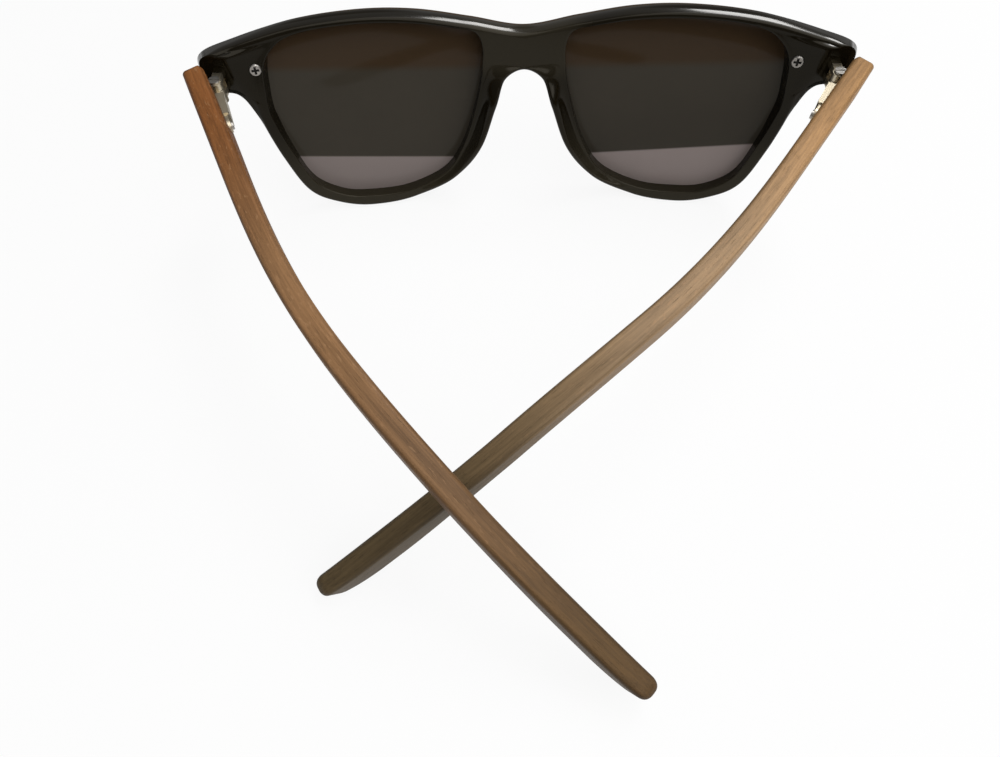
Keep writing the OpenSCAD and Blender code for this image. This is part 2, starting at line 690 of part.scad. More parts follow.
module left_front_hinge() { front_hinge(LEFT); }
module left_hinge_screw() { hinge_screw(LEFT); }
module left_spring_slider() { spring_slider(LEFT); }
module left_rod_nut() { rod_nut(LEFT); }
module left_spring() { spring(LEFT); }
module left_spring_stop() { spring_stop(LEFT); }
module left_spring_case() { spring_case(LEFT); }
module left_case_screw() { case_screw(LEFT); }
module left_temple() { temple(LEFT); }
module right_front_hinge() { front_hinge(RIGHT); }
module right_hinge_screw() { hinge_screw(RIGHT); }
module right_spring_slider() { spring_slider(RIGHT); }
module right_rod_nut() { rod_nut(RIGHT); }
module right_spring() { spring(RIGHT); }
module right_spring_stop() { spring_stop(RIGHT); }
module right_spring_case() { spring_case(RIGHT); }
module right_case_screw() { case_screw(RIGHT); }
module right_temple() { temple(RIGHT); }

front_frame();
shield_lens();
lens_screws();
lens_washers();
lens_nuts();
left_front_hinge();
left_hinge_screw();
left_spring_slider();
left_rod_nut();
left_spring();
left_spring_stop();
left_spring_case();
left_case_screw();
left_temple();
right_front_hinge();
right_hinge_screw();
right_spring_slider();
right_rod_nut();
right_spring();
right_spring_stop();
right_spring_case();
right_case_screw();
right_temple();
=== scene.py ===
# %% [markdown]
# # Sunglasses with wooden temples
# The pair lies half folded on a white table, seen from behind and above, as its wearer would pick it up.
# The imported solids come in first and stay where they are. They hold every size and every joint, so the
# pieces that this lesson makes are laid exactly over them, and only their finish and their finer shape are new.

# %% Load the solids
import json
import math

import bmesh
import bpy
import numpy as np
from mathutils import Matrix, Vector


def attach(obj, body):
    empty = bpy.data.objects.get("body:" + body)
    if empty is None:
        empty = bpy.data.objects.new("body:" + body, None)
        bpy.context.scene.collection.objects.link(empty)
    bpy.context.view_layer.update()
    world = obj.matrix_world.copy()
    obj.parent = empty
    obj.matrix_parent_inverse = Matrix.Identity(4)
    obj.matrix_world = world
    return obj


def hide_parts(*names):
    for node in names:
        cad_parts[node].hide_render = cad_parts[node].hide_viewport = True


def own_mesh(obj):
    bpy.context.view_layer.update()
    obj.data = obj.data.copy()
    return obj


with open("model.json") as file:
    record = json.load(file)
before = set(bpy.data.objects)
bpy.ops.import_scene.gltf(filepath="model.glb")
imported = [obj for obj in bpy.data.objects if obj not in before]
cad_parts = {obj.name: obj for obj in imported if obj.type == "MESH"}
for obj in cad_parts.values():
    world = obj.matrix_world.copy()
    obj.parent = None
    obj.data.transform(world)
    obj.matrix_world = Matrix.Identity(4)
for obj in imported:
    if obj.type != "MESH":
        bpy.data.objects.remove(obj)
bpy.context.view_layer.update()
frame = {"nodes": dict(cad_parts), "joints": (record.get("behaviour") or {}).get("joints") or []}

scene = bpy.context.scene
MM = 0.001

# %% [markdown]
# ## Where everything lies
# The pair leans back on its rims and one temple tip. The hinge axis was upright before that lean, so the
# axis in the record tells the lean, and the hinge's place tells the shift. With these two, a shape that is
# worked out for an upright front can be laid on the table by one matrix, which is safer than typing places.

# %% Matrices for the front and for each side
LEFT, RIGHT = 1, -1
SIDES = {"left": LEFT, "right": RIGHT}
joints = {j["name"]: j for j in frame["joints"]}
hinge_at = Vector((66.4, 11.3809, 0.9))
fold_angle = {LEFT: 25.0, RIGHT: 35.4}
tilt_angle = {LEFT: -0.25, RIGHT: 1.2}
front_lean = 9.9

axis = Vector(joints["left_fold"]["axis"])
rest_lean = math.atan2(axis.y, axis.z)
lean = Matrix.Rotation(-rest_lean, 4, "X")
shift = Vector(joints["left_fold"]["pos_m"]) / MM - lean @ hinge_at
lying = Matrix.Scale(MM, 4) @ Matrix.Translation(shift) @ lean
on_front = lying @ Matrix.Rotation(math.radians(front_lean), 4, "X")


def on_side(side):
    """Hinge axis of one side, the right one mirrored."""
    return lying @ Matrix.Diagonal((side, 1, 1, 1)) @ Matrix.Translation(hinge_at)


def on_hinge(side):
    return on_side(side) @ Matrix.Rotation(math.radians(fold_angle[side]), 4, "Z")


def on_temple(side):
    return on_hinge(side) @ Matrix.Rotation(math.radians(-tilt_angle[side]), 4, "X")


def placed(matrix, points):
    """Points in mm, as rows, taken to the shared frame in metres."""
    m = np.array(matrix)
    return np.asarray(points, float) @ m[:3, :3].T + m[:3, 3]


print("the pair leans back", round(math.degrees(rest_lean), 2), "degrees")

# %% [markdown]
# ## Two small helpers for node trees
# Materials and Geometry Nodes are both trees of nodes. `Wire` wraps one socket, so that sums on values can
# be written as plain arithmetic and add their own Math nodes. `Bench` adds any other node in one call, and fills
# the sockets of one that is there.

# %% Wire and Bench
class Wire:
    """One output socket, on which + - * / and % add Math nodes."""

    def __init__(self, bench, socket):
        self.bench = bench
        self.socket = socket

    def math(self, operation, *others):
        return self.bench.add("ShaderNodeMath", {"operation": operation}, dict(enumerate((self,) + others)))

    def swapped(self, operation, first):
        return self.bench.add("ShaderNodeMath", {"operation": operation}, {0: first, 1: self})

    def __add__(self, other):
        return self.math("ADD", other)

    def __radd__(self, other):
        return self.swapped("ADD", other)

    def __sub__(self, other):
        return self.math("SUBTRACT", other)

    def __rsub__(self, other):
        return self.swapped("SUBTRACT", other)

    def __mul__(self, other):
        return self.math("MULTIPLY", other)

    def __rmul__(self, other):
        return self.swapped("MULTIPLY", other)

    def __truediv__(self, other):
        return self.math("DIVIDE", other)

    def __rtruediv__(self, other):
        return self.swapped("DIVIDE", other)

    def __mod__(self, other):
        return self.math("FLOORED_MODULO", other)


class Bench:
    """A node tree and its one way to add a node: its type, its settings, then its sockets."""

    def __init__(self, tree):
        self.tree = tree

    def add(self, kind, settings=None, sockets=None, out=0):
        made = self.tree.nodes.new(kind)
        for name, value in (settings or {}).items():
            setattr(made, name, value)
        self.fill(made, sockets or {})
        return made if out is None else Wire(self, made.outputs[out])

    def fill(self, node, sockets):
        """Links each Wire to its socket, and sets each plain value straight on its socket."""
        for key, value in sockets.items():
            if isinstance(value, Wire):
                self.tree.links.new(value.socket, node.inputs[key])
            else:
                node.inputs[key].default_value = value

    def blend(self, factor, first, second):
        """Mixes two colours by a factor."""
        return self.add("ShaderNodeMix", {"data_type": "RGBA"}, {0: factor, 6: first, 7: second}, out=2)

    def vector(self, operation, first, second):
        return self.add("ShaderNodeVectorMath", {"operation": operation}, {0: first, 1: second})

    def scaled(self, vector, factor):
        return self.add("ShaderNodeVectorMath", {"operation": "SCALE"}, {0: vector, 3: factor})

    def parts(self, vector):
        """The three numbers of a vector."""
        return [Wire(self, part) for part in self.add("ShaderNodeSeparateXYZ", None, {0: vector}, out=None).outputs]

    def between(self, value, low, high):
        """0 below low, 1 above high, smooth in between."""
        return self.add("ShaderNodeMapRange", {"interpolation_type": "SMOOTHSTEP"},
                        {0: value, 1: low, 2: high, 3: 0.0, 4: 1.0})


def new_finish(name):
    """An empty material with its Bench, its surface shader, and the Object coordinates."""
    material = bpy.data.materials.new(name)
    material.use_nodes = True
    bench = Bench(material.node_tree)
    shader = material.node_tree.nodes["Principled BSDF"]
    place = bench.add("ShaderNodeTexCoord", out="Object")
    return material, bench, shader, place


def noise(bench, place, scale, detail=4.0, rough=0.5):
    return bench.add("ShaderNodeTexNoise", None,
                     {"Vector": place, "Scale": scale, "Detail": detail, "Roughness": rough})


def bumped(bench, height, strength):
    return bench.add("ShaderNodeBump", None, {"Height": height, "Strength": strength, "Distance": 0.1 * MM})


# %% [markdown]
# ## Black polished front
# The front is moulded from black plastic and polished. What makes it look polished is a clear gloss with a few
# very fine rubbing marks. The plastic is a little less black at the bridge and low on the rims, and the buffing
# wheel leaves the best gloss on the edges that face up, which a clear coat stands for.

# %% Material of the front
paler_below, bridge_half_w, brow_height = (0.006, 0.026), (0.008, 0.016), (0.031, 0.036)
rolled_from, rolled_to, rolled_height = (0.78, 0.90), (0.985, 0.999), (0.030, 0.036)


def black_gloss():
    material, bench, shader, place = new_finish("black_gloss")
    x, _, z = bench.parts(place)
    cloud = noise(bench, place, 90.0)
    rub = noise(bench, bench.vector("MULTIPLY", place, (900.0, 2600.0, 2600.0)), 1.0, 3.0)
    # A paler tone low on the rims and at the bridge, blended into the black.
    low = 1.0 - bench.between(z, *paler_below)
    bridge = (1.0 - bench.between(x.math("ABSOLUTE"), *bridge_half_w)) * bench.between(z, *brow_height)
    paler_share = low.math("MAXIMUM", 0.7 * bridge)
    black = bench.blend(cloud, (0.0034, 0.0025, 0.0011, 1), (0.0056, 0.0042, 0.0019, 1))
    facing_up = bench.parts(bench.add("ShaderNodeNewGeometry", out="Normal"))[2]
    rolled = bench.between(facing_up, *rolled_from) * (1.0 - bench.between(facing_up, *rolled_to))
    bench.fill(shader, {
        "Base Color": bench.blend(paler_share, black, (0.0186, 0.0156, 0.0098, 1)),
        "Roughness": 0.09 + 0.05 * cloud + 0.05 * rub,
        "Coat Weight": rolled * bench.between(z, *rolled_height), "Coat Roughness": 0.14, "IOR": 1.49,
        "Specular IOR Level": 0.15, "Specular Tint": (1.0, 0.93, 0.78, 1), "Normal": bumped(bench, rub, 0.03)})
    return material


front_finish = black_gloss()
print("front finish:", front_finish.name)

# %% [markdown]
# ## Tinted lens
# The lens is dark grey-brown plastic that lets a little light through. Its tint is graduated: browner above, and
# clearer below, where a little more light comes through; that lower part is also painted pale, as the bright view
# through the lens, and painted paler still on the right side, against the shade of the rim's wall there. Alpha is
# used instead of refraction, because a thin lens hardly bends the view, and because it also survives the export.

# %% Material of the lens
tint_edge, brow_edge, edge_soft = 0.0096, 0.0330, 0.0003
tint_curve, tint_rise, tint_slope, brow_curve = 1.6, 0.0255, 0.0155, 1.3
painted_band_from, painted_band_to = -0.045, 0.045


def lens_tint():
    material, bench, shader, place = new_finish("lens_tint")
    x, _, z = bench.parts(place)
    cloud = noise(bench, place, 60.0)
    lower = tint_edge + tint_curve * x * x + tint_rise * x.math("ABSOLUTE") - tint_slope * x
    upper = brow_edge + brow_curve * x * x
    # Below the lower edge the lens lets more light through, and its colour is painted pale as the bright view through
    # it.
    pale = 1.0 - bench.between(z - lower, -edge_soft, edge_soft)
    warm = bench.between(z - upper, -4 * edge_soft, 4 * edge_soft)
    grey = bench.blend(cloud, (0.0320, 0.0274, 0.0205, 1), (0.0388, 0.0332, 0.0249, 1))
    dark = bench.blend(warm, grey, (0.0352, 0.0221, 0.0119, 1))
    # The pale part is painted paler on the right side, against the shade of the rim's wall there.
    painted_pale_band = bench.blend(bench.between(x, painted_band_from, painted_band_to),
                       (0.250, 0.210, 0.198, 1), (0.190, 0.160, 0.150, 1))
    bench.fill(shader, {
        "Base Color": bench.blend(pale, dark, painted_pale_band), "Alpha": 0.988 - 0.038 * pale,
        "Roughness": 0.05 + 0.04 * cloud, "IOR": 1.5, "Specular IOR Level": 0.08})
    return material


lens_finish = lens_tint()
print("lens finish:", lens_finish.name)

# %% [markdown]
# ## Metals
# The hinges are satin plated in a pale gold, and the lens screws are plain steel. Satin metal shows short fine
# marks, which a stretched noise gives to the roughness and to a faint bump. The screws' recesses are painted dark
# as shade, which the screws mark with an attribute of their own.

# %% Materials of the metal pieces
def satin_metal(name, pale, dull, rough, stretch):
    material, bench, shader, place = new_finish(name)
    cloud = noise(bench, place, 700.0)
    marks = noise(bench, bench.vector("MULTIPLY", place, stretch), 1.0, 2.0)
    recess = bench.add("ShaderNodeAttribute", {"attribute_name": "recess"}, out="Fac")
    plated = bench.blend(cloud, (*dull, 1), (*pale, 1))
    # Painted shade: the recess faces are painted near black, and made rougher.
    bench.fill(shader, {
        "Base Color": bench.blend(0.9 * recess, plated, (0.012, 0.011, 0.010, 1)),
        "Roughness": rough + 0.12 * marks + 0.3 * recess, "Metallic": 1.0,
        "Normal": bumped(bench, marks, 0.08)})
    return material


hinge_finish = satin_metal("pale_gold", (0.63, 0.56, 0.43), (0.47, 0.41, 0.30), 0.34,
                           stretch=(2500.0, 2500.0, 9000.0))
screw_finish = satin_metal("turned_steel", (0.44, 0.42, 0.39), (0.32, 0.305, 0.28), 0.36,
                           stretch=(6000.0, 2500.0, 6000.0))
spring_finish = satin_metal("drawn_wire", (0.66, 0.66, 0.66), (0.5, 0.5, 0.5), 0.22,
                            stretch=(5000.0, 2500.0, 5000.0))


def washer_black():
    material, bench, shader, place = new_finish("washer_black")
    cloud = noise(bench, place, 900.0)
    bench.fill(shader, {
        "Base Color": bench.blend(cloud, (0.03, 0.03, 0.03, 1), (0.06, 0.06, 0.06, 1)),
        "Roughness": 0.45 + 0.2 * cloud})
    return material


washer_finish = washer_black()
print("metal and washer finishes:", [m.name for m in (hinge_finish, screw_finish, spring_finish, washer_finish)])

# %% [markdown]
# ## Walnut
# The temples are cut from walnut with the grain along their length, and only oiled. Three things make it read
# as wood: slow bands of tone, fine lines that are many times longer than wide, and short dark pores. All follow
# the bend of the temple, so the material reads an attribute that holds the way along it and across it. Pale flecks
# show that it was sawn. The rounded edges are a little darker, and the tip is painted darker as the shade on it.

# %% Material of the temples
root_blend, tip_blend, dark_edge = (0.010, 0.060), 0.066, 0.0008


def walnut(name, seed, tip_from, root, middle, tip):
    """Walnut with its own pattern, with its tones at the hinge end and the middle, and a darker tip tone that is
    painted shade.
    """
    material, bench, shader, _ = new_finish(name)

    def kept(attribute, out):
        return bench.add("ShaderNodeAttribute", {"attribute_name": attribute}, out=out)

    grain = kept("grain", "Vector")
    along, across, height = bench.parts(grain)
    cut = bench.vector("ADD", grain, (seed, seed, 0.0))

    def stretched(along_scale, across_scale, detail, rough=0.5):
        scales = (along_scale, across_scale, across_scale)
        return noise(bench, bench.vector("MULTIPLY", cut, scales), 1.0, detail, rough)

    bands = stretched(26.0, 300.0, 3.0)
    lines = stretched(75.0, 2600.0, 4.0, 0.6)
    flecks = stretched(520.0, 1700.0, 2.0)
    pores = stretched(420.0, 6500.0, 2.0)
    # The tip's darker tone is painted shade; the pale flecks fade out there.
    tip_shade_share = bench.between(along, tip_from, tip_from + tip_blend)
    tone = bench.blend(bench.between(along, *root_blend), (*root, 1), (*middle, 1))
    tone = bench.blend(tip_shade_share, tone, (*tip, 1))
    streak = bench.add("ShaderNodeMapRange", None,
                       {0: 0.5 * bands + 0.5 * lines, 1: 0.32, 2: 0.68, 3: 0.62, 4: 1.38})
    tone = bench.scaled(tone, streak)
    fleck = 0.30 * bench.between(flecks, 0.60, 0.70) * (1.0 - tip_shade_share)
    tone = bench.blend(fleck, tone, (0.330, 0.190, 0.095, 1))
    dark = bench.between(pores, 0.60, 0.72)
    # Darker along the rounded edges, and at the pores.
    from_side = kept("half_t", "Fac") - across.math("ABSOLUTE")
    from_top = kept("half_h", "Fac") - height.math("ABSOLUTE")
    edge = 1.0 - bench.between(from_side.math("MAXIMUM", from_top), 0.0, dark_edge)
    pores_and_edges = (0.40 * dark).math("MAXIMUM", 0.55 * edge)
    bench.fill(shader, {
        "Base Color": bench.blend(pores_and_edges, tone, bench.scaled(tone, 0.25)),
        "Roughness": 0.44 + 0.14 * lines + 0.12 * dark, "Specular IOR Level": 0.15,
        "Normal": bumped(bench, lines - 0.8 * dark, 0.25)})
    return material


# The tip tones are painted shade.
wood_finish = {
    "left": walnut("walnut_left", 0.11, 0.078, root=(0.160, 0.060, 0.017),
                   middle=(0.180, 0.096, 0.043), tip=(0.067, 0.037, 0.013)),
    "right": walnut("walnut_right", 0.37, 0.062, root=(0.270, 0.150, 0.062),
                    middle=(0.243, 0.157, 0.085), tip=(0.074, 0.051, 0.025)),
}
print("wood finishes:", [m.name for m in wood_finish.values()])

# %% [markdown]
# ## Mesh helpers
# A piece is built as points and faces in the shared frame, so that its object stays at the origin. Cuts are made
# by Boolean modifiers with throw-away cutters, and the result is baked into a plain mesh.

# %% Making and cutting meshes
SMOOTH_ANGLE = 35.0


def smooth_mesh(name, points, faces):
    """A closed mesh with its doubles merged, its faces outward and its sharp edges marked."""
    mesh = bpy.data.meshes.new(name)
    mesh.from_pydata([tuple(p) for p in points], [], [tuple(f) for f in faces])
    tidy(mesh)
    return mesh


def tidy(mesh, angle=SMOOTH_ANGLE):
    bm = bmesh.new()
    bm.from_mesh(mesh)
    bmesh.ops.remove_doubles(bm, verts=bm.verts, dist=1e-6)
    bmesh.ops.dissolve_degenerate(bm, edges=bm.edges, dist=1e-7)
    bmesh.ops.recalc_face_normals(bm, faces=bm.faces)
    bm.to_mesh(mesh)
    bm.free()
    mesh.shade_smooth()
    mesh.set_sharp_from_angle(angle=math.radians(angle))


def shown(name, mesh, finish):
    piece = bpy.data.objects.new(name, mesh)
    scene.collection.objects.link(piece)
    piece.data.materials.clear()
    piece.data.materials.append(finish)
    return piece


def evaluated(piece):
    """The piece's mesh with its modifiers in it, and the modifiers gone."""
    bpy.context.view_layer.update()
    graph = bpy.context.evaluated_depsgraph_get()
    mesh = bpy.data.meshes.new_from_object(piece.evaluated_get(graph))
    piece.modifiers.clear()
    old = piece.data
    piece.data = mesh
    bpy.data.meshes.remove(old)
    return mesh


def box_cutter(matrix, low, high):
    xs, ys, zs = zip(low, high)
    points = [(x, y, z) for x in xs for y in ys for z in zs]
    faces = [(0, 1, 3, 2), (4, 6, 7, 5), (0, 4, 5, 1), (2, 3, 7, 6), (0, 2, 6, 4), (1, 5, 7, 3)]
    return smooth_mesh("cutter", placed(matrix, points), faces)


def round_cutter(matrix, axis, radius, low, high, at=(0.0, 0.0), sides=48):
    """A round along one axis of the matrix; at gives the other two coordinates, in order."""
    points = []
    for end in (low, high):
        for i in range(sides):
            a = 2 * math.pi * i / sides
            ring = [at[0] + radius * math.cos(a), at[1] + radius * math.sin(a)]
            ring.insert(axis, end)
            points.append(ring)
    faces = [tuple(range(sides)), tuple(range(sides, 2 * sides))]
    faces += [(i, (i + 1) % sides, sides + (i + 1) % sides, sides + i) for i in range(sides)]
    return smooth_mesh("cutter", placed(matrix, points), faces)


def carve(piece, cutters):
    """Cuts the cutters out of the piece, and removes them."""
    helpers = []
    for mesh in cutters:
        helper = bpy.data.objects.new("cutter", mesh)
        scene.collection.objects.link(helper)
        cut = piece.modifiers.new("cut", "BOOLEAN")
        cut.operation = "DIFFERENCE"
        cut.solver = "MANIFOLD"
        cut.object = helper
        helpers.append(helper)
    mesh = evaluated(piece)
    for helper in helpers:
        bpy.data.meshes.remove(helper.data)
    tidy(mesh)


# %% [markdown]
# ## Shape of the front
# Seen flat, the front is a brow bar with a rim round each eye, a bridge and two end pieces. Each station below
# gives a point on the outer outline, the matching point on the eye opening, and how far the rim stands
# out behind there, which makes the nose flanges and the thick end pieces. A smooth curve runs through them.

# %% Stations of the rim
front_half_w, wrap_r, front_t, edge_r = 70.8, 250.0, 3.2, 0.8
brow_mid, brow_peak, rim_low, rim_w, brow_bar = 5.6, 10.5, 37.5, 3.0, 2.0
nose_half_w, nose_flange, end_stand, notch_top = 4.2, 3.4, 1.6, -3.3
eye_top, eye_low = brow_peak - brow_bar, rim_w - rim_low
stations = [
    ((0, brow_mid), (11.4, brow_mid + 0.2), 0),
    ((12, brow_mid + 2.1), (14.6, brow_mid + 0.9), 0),
    ((24, brow_peak - 0.7), (24, eye_top - 0.5), 0),
    ((36, brow_peak), (35, eye_top + 0.2), 0),
    ((50, brow_peak - 0.8), (46, eye_top - 0.2), 0),
    ((front_half_w - 8.2, brow_peak - 3.2), (52, eye_top - 1.5), 0.2 * end_stand),
    ((front_half_w - 1.2, brow_mid - 0.4), (55.2, eye_top - 4), end_stand),
    ((front_half_w, brow_mid - 4.2), (56.8, eye_top - 8.2), end_stand),
    ((front_half_w - 1, -3.2), (57.4, -4.2), end_stand),
    ((front_half_w - 6.4, -3.8), (57.7, -7.6), 0.4 * end_stand),
    ((61.7, -9.2), (57.5, -10.8), 0),
    ((58.5, -20.8), (55.8, -19.2), 0),
    ((54.4, -30.8), (52.5, -28.4), 0),
    ((48, 2.1 - rim_low), (46.2, eye_low + 1.3), 0),
    ((39.5, -rim_low), (39.2, eye_low), 0),
    ((28, 1.4 - rim_low), (29.6, eye_low + 0.6), 0),
    ((17, -29.8), (20, -29.5), 0.5 * nose_flange),
    ((nose_half_w + 6.2, -21), (14.9, -22.2), nose_flange),
    ((nose_half_w + 2.4, -11.2), (11.6, -12.8), 0.8 * nose_flange),
    ((nose_half_w, -5.1), (9.7, -4.6), 0.25 * nose_flange),
    ((0, notch_top), (9.4, -1.2), 0),
]
bridge_openings = [(9.2, 0.8), (9.4, 2.8), (10, 4.6)]
last_station = len(stations) - 1
flip = np.array([-1.0, 1.0])
rim = np.array([s[0] for s in stations], float)
rim_padded = np.vstack([rim[3:0:-1] * flip, rim, rim[-2:-5:-1] * flip])
opening = np.array([s[1] for s in stations] + bridge_openings, float)
stand = np.array([s[2] for s in stations], float)
print("stations for each eye:", len(stations))

# %% Curves through the stations
def catmull(points, i, f):
    """Smooth curve through rows of points, at row i plus the fraction f, wrapping round the ends."""
    n = len(points)
    a, b, c, d = (points[(i + k) % n] for k in (-1, 0, 1, 2))
    f = f[:, None]
    square, cube = 2 * a - 5 * b + 4 * c - d, 3 * b - a - 3 * c + d
    return 0.5 * (2 * b + (c - a) * f + square * f ** 2 + cube * f ** 3)


def split(t):
    t = np.atleast_1d(np.asarray(t, float))
    i = np.floor(t).astype(int)
    return i, t - i


def smoothstep(x):
    x = np.clip(x, 0, 1)
    return x * x * (3 - 2 * x)


def rim_point(t):
    i, f = split(t)
    return catmull(rim_padded, i + 3, f)


def opening_point(t):
    return catmull(opening, *split(t))


def outward_of(curve, t, step=0.02):
    along = curve(t + step) - curve(t - step)
    along /= np.linalg.norm(along, axis=1)[:, None]
    return np.column_stack([-along[:, 1], along[:, 0]])


def stand_out(t):
    i, f = split(t)
    low, high = (stand[np.clip(i + k, 0, last_station)] for k in (0, 1))
    return low + (high - low) * smoothstep(f)


def wrapped(flat, depth):
    """From the flat front to the wrapped one: depth is measured behind the rear face."""
    a = flat[:, 0] / wrap_r
    r = wrap_r - depth
    return np.column_stack([r * np.sin(a), wrap_r - r * np.cos(a), flat[:, 1]])


# %% [markdown]
# ## The moulded front
# A ring of points is laid round the rim's section at many places along it: up the eye's slanted wall, round
# a soft edge, across the rear face, round the outer edge and back along the front. Points that stand behind the end
# faces are pressed flat. The rings are joined into a skin, mirrored, and merged at the middle. Then the leaf pockets
# and the screw seats are cut, as a moulding tool leaves them.

# %% Build the front
ring_steps, arc_steps, face_steps = 14, 8, 22
chamfer, inner_edge_r = 0.22, 0.35
soft_edge_t = (0, 2, 4.2, 6)
soft_edge_r, soft_edge_d = (1.6, 1.35, 1.3, edge_r), (2.2, 2.6, 2.4, edge_r)
wall_draft, draft_from, draft_rise, draft_to, draft_fall = 0.9, 5.5, 1.5, 9.6, 2.2

ring_t = np.arange(len(opening) * ring_steps) / ring_steps
rim_t = np.minimum(ring_t, last_station)
is_rim = ring_t <= last_station + 1e-9
zero = np.zeros_like(ring_t)
eye, eye_out = opening_point(ring_t), outward_of(opening_point, ring_t)
outer, outer_out, stand_d = rim_point(rim_t), outward_of(rim_point, rim_t), stand_out(rim_t)
roll_h, roll_d = (np.interp(rim_t, soft_edge_t, sizes) for sizes in (soft_edge_r, soft_edge_d))
draft = wall_draft * smoothstep((ring_t - draft_from) / draft_rise)
draft *= 1 - smoothstep((ring_t - draft_to) / draft_fall)
rear_eye = eye + draft[:, None] * eye_out
bridge_share = np.clip((ring_t - last_station) / (len(opening) - last_station), 0, 1)
bridge_h = notch_top + edge_r + bridge_share * (brow_mid - soft_edge_r[0] - notch_top - edge_r)
middle = np.column_stack([zero, bridge_h])


def on_rim(flat, depth, bridge_depth=0.0):
    """A column of points on the rim, or on the bridge's middle where the eye has no rim."""
    return np.where(is_rim[:, None], flat, middle), np.where(is_rim, depth, bridge_depth)


quarter_turn = np.linspace(0, math.pi / 2, arc_steps)
columns = [(eye, zero - front_t)]
for a in quarter_turn:
    inset = inner_edge_r * (1 - math.cos(a))
    columns.append((rear_eye + inset * eye_out, zero - inner_edge_r + inner_edge_r * math.sin(a)))
inner_flat, outer_first = columns[-1][0], on_rim(outer - roll_h[:, None] * outer_out, stand_d)
for share in np.linspace(0, 1, face_steps + 1)[1:-1]:
    columns.append((inner_flat + share * (outer_first[0] - inner_flat), smoothstep(share) * outer_first[1]))
outer_start = len(columns)
for a in quarter_turn:
    inset = roll_h * (1 - math.sin(a))
    columns.append(on_rim(outer - inset[:, None] * outer_out, stand_d - roll_d + roll_d * math.cos(a)))
columns.append(on_rim(outer, chamfer - front_t))
columns.append(on_rim(outer - chamfer * outer_out, -front_t, bridge_depth=-front_t))
rings, across = len(ring_t), len(columns)
half = np.stack([wrapped(flat, depth) for flat, depth in columns], axis=1).reshape(-1, 3)
print("points for each eye:", len(half))

# %% Press its end face flat
hinge_set, end_face_in, end_soft, end_blend = 2.9, 6.0, 0.45, 1.4


def leaned(points, angle):
    c, s = math.cos(angle), math.sin(angle)
    x, y, z = points.T
    return np.column_stack([x, c * y - s * z, s * y + c * z])


def pressed(points):
    """Points that stand behind the end face are pressed to it, with a soft edge."""
    upright = leaned(points, math.radians(front_lean))
    past = upright[:, 1] - (hinge_at.y - hinge_set)
    eased = -(end_soft - past) ** 2 / (4 * end_soft)
    held = np.where(past > end_soft, 0.0, np.where(past < -end_soft, past, eased))
    share = smoothstep((upright[:, 0] - hinge_at.x + end_face_in) / end_blend + 0.5)
    upright[:, 1] += share * (held - past)
    return leaned(upright, -math.radians(front_lean))


half = pressed(half)
faces = []
for k in range(rings):
    for j in range(across):
        if ring_t[k] >= last_station - 1e-9 and outer_start <= j < across - 1:
            continue
        k2, j2 = (k + 1) % rings, (j + 1) % across
        faces.append((k * across + j, k2 * across + j, k2 * across + j2, k * across + j2))
both = np.vstack([half, half * [-1, 1, 1]])
both_faces = faces + [tuple(len(half) + v for v in reversed(f)) for f in faces]
front_mesh = smooth_mesh("front_moulding", placed(on_front, both), both_faces)
front_moulding = shown("front_moulding", front_mesh, front_finish)

# %% Cut its leaf pockets and screw seats
leaf_sink, leaf_half_w, hinge_top, seat_gap = 2.0, 1.0, 2.42, 0.04
lens_screw_u, lens_screw_h, head_r, shank_r, head_sink, head_h = 59.2, 1.4, 1.35, 0.6, 0.4, 0.9
cut_past, cut_out = 1.0, 4.0


def at_screw(side):
    """Frame of one lens screw: +Y is the way out of the rear face."""
    a = side * lens_screw_u / wrap_r
    turn = Matrix.Rotation(a, 4, "Z")
    return on_front @ Matrix.Translation((0, wrap_r, lens_screw_h)) @ turn @ Matrix.Translation((0, -wrap_r, 0))


leaf_low = (-leaf_half_w - seat_gap, -hinge_set - leaf_sink - seat_gap, -hinge_top - seat_gap)
leaf_high = (leaf_half_w + seat_gap, -hinge_set + cut_past, hinge_top + seat_gap)
cutters = []
for side in SIDES.values():
    cutters += [
        box_cutter(on_side(side), leaf_low, leaf_high),
        round_cutter(at_screw(side), 1, shank_r + seat_gap, -front_t - cut_past, cut_out),
        round_cutter(at_screw(side), 1, head_r + seat_gap, -head_sink, cut_out),
    ]
carve(front_moulding, cutters)
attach(front_moulding, "front")
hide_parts("front_frame")
print("front:", len(front_moulding.data.polygons), "faces")

# %% [markdown]
# ## The one-piece lens
# The lens is a slice of a cylinder, cut a little inside the front's outline. Along its height a cylinder is straight,
# so a column of two points, one on the lower edge and one on the upper, is enough at each place across.
# The edge is ground round, which the ring of points between the two faces gives.

# %% Build the lens
lens_t, lens_inset, lens_round, lens_cut_past = 1.8, 0.5, 0.3, 3.0
lens_r = wrap_r + front_t + seat_gap
end_t, lens_columns, search_steps, lens_arc_steps = 7.0, 420, 4000, 5
lower_t = np.linspace(last_station, end_t, lens_columns)
upper_all = np.linspace(0, end_t, search_steps)
upper_u = rim_point(upper_all)[:, 0]
lower_u = rim_point(lower_t)[:, 0]
upper_t = np.interp(np.minimum(lower_u, upper_u[-1]), upper_u, upper_all)


def lens_edge(t, inset, depth):
    """Points of the lens at an inset from the outline and a depth in front of its rear face."""
    flat = rim_point(t) - (lens_inset + inset) * outward_of(rim_point, t)
    x = wrap_r * np.sin(flat[:, 0] / wrap_r)
    r = lens_r + depth
    return np.column_stack([x, wrap_r - np.sqrt(r * r - x * x), flat[:, 1]])


